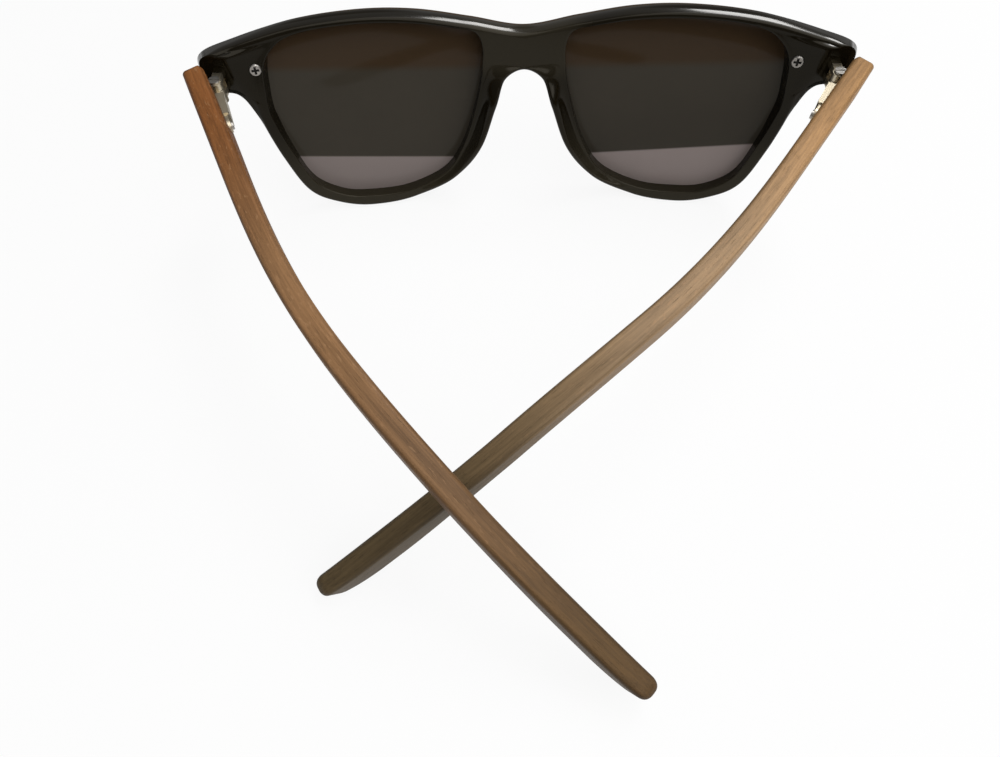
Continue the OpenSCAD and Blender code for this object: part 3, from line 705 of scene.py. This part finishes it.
ground = np.linspace(0, math.pi / 2, lens_arc_steps)
lens_layers = [(lens_round * (1 - math.sin(a)), lens_round * (1 - math.cos(a))) for a in ground]
lens_layers += [(lens_round * (1 - math.cos(a)), lens_t - lens_round * (1 - math.sin(a))) for a in ground]
loop = len(lower_t)
lens_points, lens_faces = [], []
for inset, depth in lens_layers:
    lens_points += [lens_edge(lower_t, inset, depth), lens_edge(upper_t, inset, depth)]
lens_points = np.vstack(lens_points)
layers = len(lens_layers)


def lens_index(layer, upper, i):
    return (2 * layer + upper) * loop + i


for i in range(loop - 1):
    for layer in (0, layers - 1):
        lens_faces.append((lens_index(layer, 0, i), lens_index(layer, 0, i + 1),
                           lens_index(layer, 1, i + 1), lens_index(layer, 1, i)))
    for layer in range(layers - 1):
        for upper in (0, 1):
            lens_faces.append((lens_index(layer, upper, i), lens_index(layer, upper, i + 1),
                               lens_index(layer + 1, upper, i + 1), lens_index(layer + 1, upper, i)))
for layer in range(layers - 1):
    lens_faces.append((lens_index(layer, 0, loop - 1), lens_index(layer, 1, loop - 1),
                       lens_index(layer + 1, 1, loop - 1), lens_index(layer + 1, 0, loop - 1)))
count = len(lens_points)
lens_both = np.vstack([lens_points, lens_points * [-1, 1, 1]])
lens_both_faces = lens_faces + [tuple(count + v for v in reversed(f)) for f in lens_faces]
lens_mesh = smooth_mesh("lens_shell", placed(on_front, lens_both), lens_both_faces)
lens_shell = shown("lens_shell", lens_mesh, lens_finish)
lens_cut_to = -front_t - lens_t - lens_cut_past
carve(lens_shell, [round_cutter(at_screw(side), 1, shank_r + seat_gap, lens_cut_to, 0) for side in SIDES.values()])
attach(lens_shell, "front")
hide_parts("shield_lens")
print("lens:", len(lens_shell.data.polygons), "faces")

# %% [markdown]
# ## Temples by a rule
# A temple is one section, a bar with rounded corners, carried along a path that bows towards the head and drops
# behind the ear, while its height shrinks from the hinge on. That is a rule, so Geometry Nodes make it:
# the path's points carry the way out, the way up and the half sizes, and the tree lays the section on them.
# The way along, out and up is kept as an attribute for the wood's grain.

# %% The path of a temple
temple_len, temple_t, temple_root_h, temple_h, paddle = 152.3, 4.45, 9.8, 5.7, 1.8
bow, drop, wood_lean = np.radians((26.2, 28.2, 5.7))
bow_from, bow_to, drop_from, drop_to = temple_len * np.array((0.144, 0.892, 0.505, 0.702))
root_end, paddle_from, paddle_to = temple_len * np.array((0.262, 0.738, 0.9))
wood_face, root_top, arm_top, root_start = 0.7, 5.3, 3.7, -3.0
nose_l, nose_h_left, nose_t_left = 11.0, 0.55, 0.85
tip_round, tip_left, tip_turn, wood_corner, corner_share = 2.2, 0.56, math.radians(86), 1.0, 0.9
path_steps, tip_steps = 220, 14


def end_scale(s, length, left):
    """1 along the temple, falling to a share over a length at its end."""
    x = np.clip((s - temple_len + length) / length, 0, 1)
    return left + (1 - left) * np.sqrt(1 - x ** 2)


def bend(s):
    b = bow * smoothstep((s - bow_from) / (bow_to - bow_from))
    g = drop * np.clip((s - drop_from) / (drop_to - drop_from), 0, 1)
    along = np.column_stack([-np.sin(b) * np.cos(g), np.cos(b) * np.cos(g), -np.sin(g)])
    outward = np.column_stack([np.cos(b), np.sin(b), 0 * b])
    return along, outward, np.cross(outward, along)


path_s = np.concatenate([
    np.linspace(root_start, temple_len - tip_round, path_steps),
    temple_len - tip_round + tip_round * np.sin(tip_turn * np.arange(1, tip_steps + 1) / tip_steps),
])
step_along = bend((path_s[1:] + path_s[:-1]) / 2)[0] * np.diff(path_s)[:, None]
spine = np.vstack([[0, root_start, 0], [0, root_start, 0] + np.cumsum(step_along, axis=0)])
_, outward, upward = bend(path_s)
root_share = smoothstep((path_s - root_start) / (root_end - root_start))
wood_top = root_top + (arm_top - root_top) * root_share
wood_height = temple_root_h + (temple_h - temple_root_h) * root_share
wood_height += paddle * smoothstep((path_s - paddle_from) / (paddle_to - paddle_from))
wood_height *= end_scale(path_s, nose_l, nose_h_left)
wood_t = temple_t * end_scale(path_s, nose_l, nose_t_left)
tip_scale = end_scale(path_s, tip_round, tip_left)
half_t, half_h = wood_t / 2 * tip_scale, wood_height / 2 * tip_scale
corner = np.minimum(wood_corner, corner_share * np.minimum(half_h, half_t))
centre = spine + outward * (wood_face + wood_t / 2)[:, None]
centre = centre + upward * (wood_top - wood_height / 2)[:, None]
side_way = outward * math.cos(wood_lean) - upward * math.sin(wood_lean)
up_way = upward * math.cos(wood_lean) + outward * math.sin(wood_lean)
print("path:", len(path_s), "points,", round(float(path_s[-1]), 1), "mm to the tip")

# %% [markdown]
# ### Every tree starts and ends alike
# Its named inputs come first. At its end, instances are made real and the material is set. The result is then
# taken as a plain mesh and the tree comes off the piece, so that nothing has to be worked out again later.

# %% Start, end and use of a tree
def new_tree(name, inputs, output):
    """A Geometry Nodes tree with its named inputs: the tree, its Bench and a Wire for each input."""
    tree = bpy.data.node_groups.new(name, "GeometryNodeTree")
    for label, kind in inputs.items():
        tree.interface.new_socket(label, in_out="INPUT", socket_type="NodeSocket" + kind)
    tree.interface.new_socket(output, in_out="OUTPUT", socket_type="NodeSocketGeometry")
    bench = Bench(tree)
    given = bench.add("NodeGroupInput", out=None)
    return tree, bench, [Wire(bench, given.outputs[i]) for i in range(len(inputs))]


def end_tree(bench, geometry, finish):
    """Makes instances real, sets the material and hands the result out."""
    real = bench.add("GeometryNodeRealizeInstances", None, {0: geometry})
    dressed = bench.add("GeometryNodeSetMaterial", None, {"Geometry": real, "Material": finish})
    bench.add("NodeGroupOutput", None, {0: dressed}, out=None)


def with_inputs(piece, tree, **inputs):
    """Adds a tree to a piece and sets its named inputs by their identifiers."""
    nodes = piece.modifiers.new(tree.name, "NODES")
    nodes.node_group = tree
    for item in tree.interface.items_tree:
        if item.in_out == "INPUT" and item.name in inputs:
            nodes[item.identifier] = inputs[item.name]
    evaluated(piece)


# %% The tree that lays the section on the path
corner_points = 9


def bar_tree():
    tree, bench, (path, per_corner, finish) = new_tree(
        "swept_bar", {"Path": "Geometry", "Points in a corner": "Int", "Finish": "Material"}, "Bar")

    def named(name, kind="FLOAT"):
        return bench.add("GeometryNodeInputNamedAttribute", {"data_type": kind}, {"Name": name})

    def stored(geometry, name, value, kind="FLOAT", domain="POINT"):
        return bench.add("GeometryNodeStoreNamedAttribute", {"data_type": kind, "domain": domain},
                         {"Geometry": geometry, "Name": name, "Value": value})

    section = bench.add("GeometryNodeCurvePrimitiveCircle", None,
                        {"Resolution": per_corner * 4.0, "Radius": MM})
    index = bench.add("GeometryNodeInputIndex")
    quarter = (index / per_corner).math("FLOOR")
    turn = (index % per_corner) / (per_corner - 1.0)
    angle = (quarter + turn) * (math.pi / 2)
    right_half = 1.0 - 2.0 * (((quarter + 1.0) % 4.0).math("GREATER_THAN", 1.5))
    upper_half = 1.0 - 2.0 * quarter.math("GREATER_THAN", 1.5)
    section = stored(section, "corner_x", angle.math("COSINE"))
    section = stored(section, "corner_y", angle.math("SINE"))
    section = stored(section, "side_x", right_half)
    section = stored(section, "side_y", upper_half)
    swept = bench.add("GeometryNodeCurveToMesh", None, {
        "Curve": bench.add("GeometryNodeMeshToCurve", None, {"Mesh": path}),
        "Profile Curve": section, "Fill Caps": True})
    radius = named("corner")
    across = named("side_x") * (named("half_t") - radius) + named("corner_x") * radius
    height = named("side_y") * (named("half_h") - radius) + named("corner_y") * radius
    sideways = bench.scaled(named("outward", "FLOAT_VECTOR"), across)
    upwards = bench.scaled(named("upward", "FLOAT_VECTOR"), height)
    place = bench.vector("ADD", named("centre", "FLOAT_VECTOR"), bench.vector("ADD", sideways, upwards))
    laid = bench.add("GeometryNodeSetPosition", None, {"Geometry": swept, "Position": place})
    grain = bench.add("ShaderNodeCombineXYZ", None, {0: named("way"), 1: across, 2: height})
    laid = stored(laid, "grain", grain, "FLOAT_VECTOR", "CORNER")
    end_tree(bench, laid, finish)
    return tree


swept_bar = bar_tree()
print("tree:", swept_bar.name, "with", len(swept_bar.nodes), "nodes")

# %% Grow both temples
def path_mesh(side):
    """The path as a line of points, with what the section needs at each of them."""
    mesh = bpy.data.meshes.new("path")
    spots = placed(on_temple(side), centre)
    turn = np.array(on_temple(side))[:3, :3] / MM
    mesh.from_pydata([tuple(p) for p in spots], [(i, i + 1) for i in range(len(spots) - 1)], [])
    for name, rows in (("centre", spots), ("outward", side_way @ turn.T), ("upward", up_way @ turn.T)):
        kept = mesh.attributes.new(name, "FLOAT_VECTOR", "POINT")
        kept.data.foreach_set("vector", np.ascontiguousarray(rows, float).ravel())
    for name, row in (("half_t", half_t), ("half_h", half_h), ("corner", corner), ("way", path_s)):
        kept = mesh.attributes.new(name, "FLOAT", "POINT")
        kept.data.foreach_set("value", row * MM)
    return mesh


open_fold, open_gap, inner_relief, relief_turn, free_gap = -4.6, 0.25, 1.4, 135, 0.35
barrel_r, case_h, case_l, tail_l, pin_head_h = 1.5, 3.8, 6.9, 3.2, 0.5
rod_x, bore_r, case_wall, case_gap, tail_sink, tail_step = 1.0, 1.0, 0.55, 1.7, 0.9, 0.4
case_screw_r, case_screw_l, case_screw_off = 0.45, 3.0, 0.5
case_from = barrel_r + case_gap
case_to = case_from + case_l
tail_to, tail_r = case_to + tail_l, case_h / 2 - tail_step
case_out, tail_out = rod_x + bore_r + case_wall, wood_face + tail_sink
notch_r, notch_h = barrel_r + free_gap, hinge_top + pin_head_h + free_gap
tail_screw_y = case_to + (tail_l + case_screw_off) / 2
inward, beyond = -5, 20


def temple_cutters(side):
    """The slanted butt face, the chamfer that clears the end piece, the hinge notch and the case's pocket."""
    hinge, bar = on_hinge(side), on_temple(side)
    slant = hinge @ Matrix.Rotation(math.radians(-open_fold), 4, "Z")
    butt = open_gap - hinge_set
    relief = hinge @ Matrix.Translation((wood_face + inner_relief, butt, 0))
    relief = relief @ Matrix.Rotation(math.radians(relief_turn), 4, "Z")
    case_half, tail_half, tail_end = case_h / 2 + seat_gap, tail_r + seat_gap, tail_to - tail_r
    return [
        box_cutter(slant, (-beyond, butt - beyond, -beyond), (beyond, butt, beyond)),
        box_cutter(relief, (0, 0, -beyond), (beyond, beyond, beyond)),
        round_cutter(hinge, 2, notch_r, -notch_h, notch_h),
        box_cutter(hinge, (inward, inward, -notch_h), (notch_r, 0, notch_h)),
        box_cutter(bar, (inward, 0, -case_half), (case_out + seat_gap, case_to + seat_gap, case_half)),
        box_cutter(bar, (inward, case_to - cut_past, -tail_half), (tail_out + seat_gap, tail_end, tail_half)),
        round_cutter(bar, 0, tail_half, inward, tail_out + seat_gap, at=(tail_end, 0)),
        round_cutter(bar, 0, case_screw_r + seat_gap, inward, wood_face + case_screw_l + seat_gap,
                     at=(tail_screw_y, 0)),
    ]


for side_name, side in SIDES.items():
    finish = wood_finish[side_name]
    wood = shown(side_name + "_wood", path_mesh(side), finish)
    with_inputs(wood, swept_bar, **{"Points in a corner": corner_points, "Finish": finish})
    tidy(wood.data)
    carve(wood, temple_cutters(side))
    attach(wood, side_name + "_arm")
    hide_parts(side_name + "_temple")
    print(wood.name, len(wood.data.polygons), "faces")

# %% [markdown]
# ## Springs and screws
# Each case hides a coil spring on the slide rod: a wire on a spiral path, again a rule for Geometry Nodes.
# The two lens screws are one shape at two places: a domed head with a cross recess on a plain shank.

# %% The spring's tree
wire_d, spring_turns, wire_steps, wire_sides, slide_travel = 0.3, 4, 40, 14, 1.5
stop_in, stop_t, nut_t, bore_floor, nut_gap, spring_gap, coil_gap = 0.8, 0.6, 0.8, 0.5, 0.2, 0.1, 0.12
nut_from = case_to - bore_floor - nut_t - nut_gap
spring_from, spring_to = case_from + stop_in + stop_t + spring_gap, nut_from - spring_gap
spring_l, spring_mean_r = spring_to - spring_from, bore_r - coil_gap - wire_d / 2


def coil_tree():
    tree, bench, (_, turns, radius, length, wire, finish) = new_tree("coil", {
        "Start": "Geometry", "Turns": "Float", "Coil radius": "Float", "Length": "Float",
        "Wire radius": "Float", "Finish": "Material"}, "Coil")
    spiral = bench.add("GeometryNodeCurveSpiral", None, {
        "Resolution": wire_steps, "Rotations": turns, "Start Radius": radius, "End Radius": radius,
        "Height": length})
    round_wire = bench.add("GeometryNodeCurvePrimitiveCircle", None,
                           {"Resolution": wire_sides, "Radius": wire})
    wound = bench.add("GeometryNodeCurveToMesh", None,
                      {"Curve": spiral, "Profile Curve": round_wire, "Fill Caps": True})
    end_tree(bench, wound, finish)
    return tree


coil = coil_tree()
for side_name, side in SIDES.items():
    spring = shown(side_name + "_coil", bpy.data.meshes.new("coil"), spring_finish)
    with_inputs(spring, coil, **{"Turns": float(spring_turns), "Coil radius": spring_mean_r,
                                 "Length": spring_l - wire_d, "Wire radius": wire_d / 2,
                                 "Finish": spring_finish})
    start = on_temple(side) @ Matrix.Translation((rod_x, spring_from + wire_d / 2, 0))
    spring.data.transform(start @ Matrix.Rotation(-math.pi / 2, 4, "X"))
    tidy(spring.data, angle=60.0)
    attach(spring, side_name + "_arm")
    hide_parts(side_name + "_spring")
    1 - slide_travel / spring_l
    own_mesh(spring)
    print(spring.name, len(spring.data.polygons), "faces")

# %% The screw's tree
lens_face, washer_t, nut_h = -front_t - seat_gap - lens_t, 0.3, 1.2
recess_l, recess_w, recess_d, dome, dome_power = 1.7, 0.5, 0.5, 0.16, 4.0
head_sides, head_rows, shank_sides, recess_reach, recess_level = 48, 6, 32, 0.52, 0.48


def screw_tree():
    tree, bench, (places, head_radius, head_height, dome_share, shank_radius, shank_length,
                  slot_l, slot_w, slot_d, finish) = new_tree("cross_screw", {
        "Places": "Geometry", "Head radius": "Float", "Head height": "Float", "Dome": "Float",
        "Shank radius": "Float", "Shank length": "Float", "Recess length": "Float",
        "Recess width": "Float", "Recess depth": "Float", "Finish": "Material"}, "Screws")

    def vector(x=0.0, y=0.0, z=0.0):
        return bench.add("ShaderNodeCombineXYZ", None, {0: x, 1: y, 2: z})

    def moved(geometry, by):
        return bench.add("GeometryNodeTransform", None, {"Geometry": geometry, "Translation": by})

    head = bench.add("GeometryNodeMeshCylinder", {"fill_type": "NGON"}, {
        "Vertices": head_sides, "Side Segments": head_rows, "Radius": head_radius, "Depth": head_height})
    position = bench.add("GeometryNodeInputPosition")
    share = bench.parts(position)[2] / head_height + 0.5
    shrink = 1.0 - dome_share * share.math("POWER", dome_power)
    domed = bench.vector("MULTIPLY", position, vector(shrink, shrink, 1.0))
    head = bench.add("GeometryNodeSetPosition", None, {"Geometry": head, "Position": domed})
    cut = bench.add("GeometryNodeMeshBoolean", {"operation": "DIFFERENCE", "solver": "MANIFOLD"},
                    {0: head}, out=None)
    for length, width in ((slot_l, slot_w), (slot_w, slot_l)):
        bar = bench.add("GeometryNodeMeshCube", None, {"Size": vector(length, width, slot_d * 2.0)})
        tree.links.new(moved(bar, vector(z=head_height / 2.0)).socket, cut.inputs[1])
    x, y, z = bench.parts(bench.add("GeometryNodeInputPosition"))
    # Faces inside the cross recess are marked, so that the material paints shade there.
    painted_recess_shade = (x * x + y * y).math("SQRT").math("LESS_THAN", recess_reach * slot_l)
    painted_recess_shade = painted_recess_shade * z.math("LESS_THAN", recess_level * head_height)
    painted_recess_shade = painted_recess_shade * z.math("GREATER_THAN", -recess_level * head_height)
    head = bench.add("GeometryNodeStoreNamedAttribute", {"data_type": "FLOAT", "domain": "FACE"},
                     {"Geometry": Wire(bench, cut.outputs[0]), "Name": "recess", "Value": painted_recess_shade})
    shank = bench.add("GeometryNodeMeshCylinder", None,
                      {"Vertices": shank_sides, "Radius": shank_radius, "Depth": shank_length})
    shank = moved(shank, vector(z=(head_height + shank_length) / -2.0))
    whole = bench.add("GeometryNodeJoinGeometry", out=None)
    for part in (head, shank):
        tree.links.new(part.socket, whole.inputs[0])
    spin = bench.add("GeometryNodeInputNamedAttribute", {"data_type": "FLOAT_VECTOR"}, {"Name": "turn"})
    screws = bench.add("GeometryNodeInstanceOnPoints", None, {
        "Points": bench.add("GeometryNodeMeshToPoints", None, {"Mesh": places}),
        "Instance": Wire(bench, whole.outputs[0]),
        "Rotation": bench.add("FunctionNodeEulerToRotation", None, {0: spin})})
    end_tree(bench, screws, finish)
    return tree


# %% Both lens screws
head_at = Matrix.Translation((0, head_h / 2 - head_sink, 0)) @ Matrix.Rotation(-math.pi / 2, 4, "X")
heads = [at_screw(side) @ head_at for side in SIDES.values()]
spots = bpy.data.meshes.new("screw_places")
spots.from_pydata([m.translation for m in heads], [], [])
turns = np.array([m.to_3x3().normalized().to_euler() for m in heads])
spots.attributes.new("turn", "FLOAT_VECTOR", "POINT").data.foreach_set("vector", turns.ravel())
lens_screw_pair = shown("lens_screw_pair", spots, screw_finish)
shank_l = -head_sink - (lens_face - washer_t - nut_h / 2)
with_inputs(lens_screw_pair, screw_tree(), **{
    "Head radius": head_r * MM, "Head height": head_h * MM, "Dome": dome,
    "Shank radius": shank_r * MM, "Shank length": shank_l * MM, "Recess length": recess_l * MM,
    "Recess width": recess_w * MM, "Recess depth": recess_d * MM, "Finish": screw_finish})
tidy(lens_screw_pair.data, angle=40.0)
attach(lens_screw_pair, "front")
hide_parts("lens_screws")
print("lens screws:", len(lens_screw_pair.data.polygons), "faces")

# %% [markdown]
# ## Finishes of the pieces that stay
# The hinge leaves, the slider, the case and the small screws are plain turned and stamped shapes, and their solids
# are right as they are. They only get their metal.

# %% Give the solids their finish
kept_finish = {"hinge": hinge_finish, "slider": hinge_finish, "case": hinge_finish, "stop": hinge_finish,
               "nut": hinge_finish, "screw": screw_finish, "washers": washer_finish, "lens_nuts": screw_finish}
dressed = []
for name, solid in frame["nodes"].items():
    finish = next((f for word, f in reversed(kept_finish.items()) if word in name), None)
    if finish is None:
        continue
    if not solid.material_slots:
        solid.data.materials.append(finish)
    for material_slot in solid.material_slots:
        material_slot.link = "OBJECT"
        material_slot.material = finish
    dressed.append(name)
print("solids with a finish:", len(dressed))

# %% [markdown]
# ## Table and light
# A pale table and an even room give the plain background. A wide panel near the viewer and a soft lamp at the side
# light everything, and a narrow panel beyond the front draws the streaks of light along the brow.

# %% Table
half_table, table_glow = 1.5, 0.9


def table_white():
    material, bench, shader, place = new_finish("table_white")
    tree = material.node_tree
    cloud = noise(bench, place, 6.0)
    bench.fill(shader, {
        "Base Color": bench.blend(cloud, (0.61, 0.61, 0.61, 1), (0.63, 0.63, 0.63, 1)),
        "Roughness": 0.6 + 0.1 * cloud, "Specular IOR Level": 0.1})
    glow = bench.add("ShaderNodeEmission", None, {"Color": (1, 1, 1, 1), "Strength": 1.0})
    ray = bench.add("ShaderNodeLightPath", out=None)
    camera_ray, glossy_ray, through_ray = (
        Wire(bench, ray.outputs[name]) for name in ("Is Camera Ray", "Is Glossy Ray", "Is Transmission Ray"))
    seen = camera_ray.math("MAXIMUM", glossy_ray).math("MAXIMUM", through_ray)
    mixed = bench.add("ShaderNodeMixShader", None,
                      {0: table_glow * seen, 1: Wire(bench, shader.outputs[0]), 2: glow})
    tree.links.new(mixed.socket, tree.nodes["Material Output"].inputs["Surface"])
    return material


table_corners = [(x * half_table, y * half_table, 0) for x, y in ((-1, -1), (1, -1), (1, 1), (-1, 1))]
table = shown("table", smooth_mesh("table", table_corners, [(0, 1, 2, 3)]), table_white())
print("table:", 2 * half_table, "m wide")

# %% Room and lamps
world = bpy.data.worlds.new("room")
scene.world = world
world.use_nodes = True
background = world.node_tree.nodes["Background"]
background.inputs["Color"].default_value = (1.0, 0.99, 0.97, 1)
background.inputs["Strength"].default_value = 0.24


def lamp(name, place, target, width, depth, power):
    data = bpy.data.lights.new(name, "AREA")
    data.shape = "RECTANGLE"
    data.size, data.size_y = width, depth
    data.energy = power
    piece = bpy.data.objects.new(name, data)
    scene.collection.objects.link(piece)
    piece.location = place
    piece.rotation_euler = (Vector(target) - Vector(place)).to_track_quat("-Z", "Y").to_euler()


lamp("panel_near", (-0.40, 0.38, 0.80), (0, -0.05, 0.04), width=1.20, depth=1.20, power=10.0)
lamp("panel_far", (-0.28, -0.32, 0.82), (-0.28, 0.08, 0.11), width=0.26, depth=0.50, power=4.2)
lamp("soft_side", (-0.6, 0.2, 0.7), (0, 0, 0.02), width=1.0, depth=1.0, power=3.0)

# %% [markdown]
# ## Camera
# The photo was taken from behind and above with a wide phone lens. Its place and turn were found by matching
# the screws, the hinges, the rims and the temple tips.

# %% Camera
camera_at = lying @ Vector((3.47, 143.33, 103.57))
right = (lean @ Vector((-0.99984, -0.00061, -0.01785))).normalized()
forward = (lean @ Vector((0.01575, -0.50117, -0.86522))).normalized()
up = right.cross(forward).normalized()
camera_data = bpy.data.cameras.new("camera")
camera_data.sensor_fit = "HORIZONTAL"
camera_data.sensor_width = 36.0
camera_data.lens = 25.92
camera_data.clip_start = 0.005
camera = bpy.data.objects.new("camera", camera_data)
scene.collection.objects.link(camera)
camera.matrix_world = Matrix.Translation(camera_at) @ Matrix((right, up, -forward)).transposed().to_4x4()
scene.camera = camera
scene.view_settings.view_transform = "Standard"
print("camera at", [round(c / MM, 1) for c in camera_at], "mm")

# %% [markdown]
# ## Last update
# The scene is brought up to date.

# %% Bring the scene up to date
bpy.context.view_layer.update()
